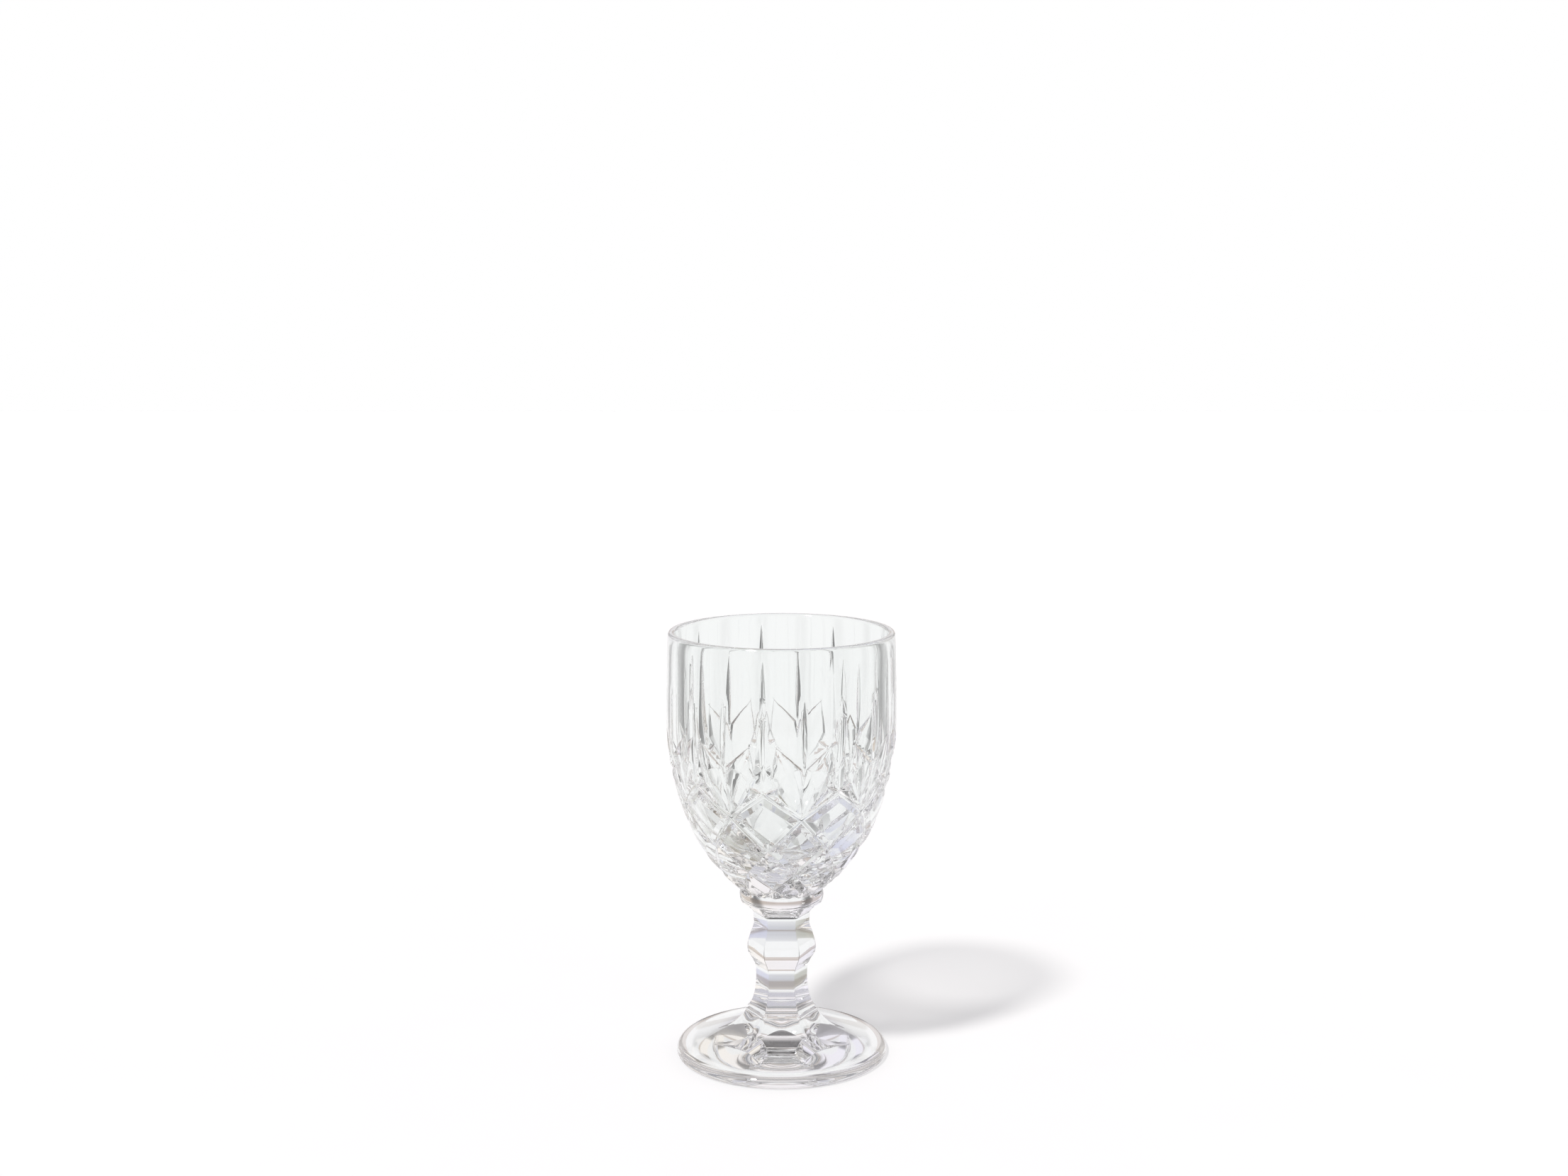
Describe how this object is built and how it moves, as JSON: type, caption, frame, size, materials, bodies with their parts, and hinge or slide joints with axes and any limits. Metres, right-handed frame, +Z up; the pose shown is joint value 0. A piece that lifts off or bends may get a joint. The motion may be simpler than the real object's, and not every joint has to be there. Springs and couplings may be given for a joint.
{
  "type": "cordial glass",
  "caption": "Small stemmed drinking glass: deep cut bowl with a diamond lattice under tall blades, ringed collar, faceted knopped stem and scalloped round foot.",
  "frame": {"origin": "on the glass's axis, at the table that the foot stands on", "axes": "+Z up the stem to the lip, -Y to the front as pictured, where a flat of the stem faces"},
  "size_m": [0.057, 0.057, 0.108],
  "materials": {
    "clear_glass": "clear, nearly colourless, wheel-cut and fire-polished"
  },
  "bodies": {
    "root": {"bowl": "clear_glass", "collar": "clear_glass", "stem": "clear_glass", "foot": "clear_glass"}
  },
  "joints": []
}
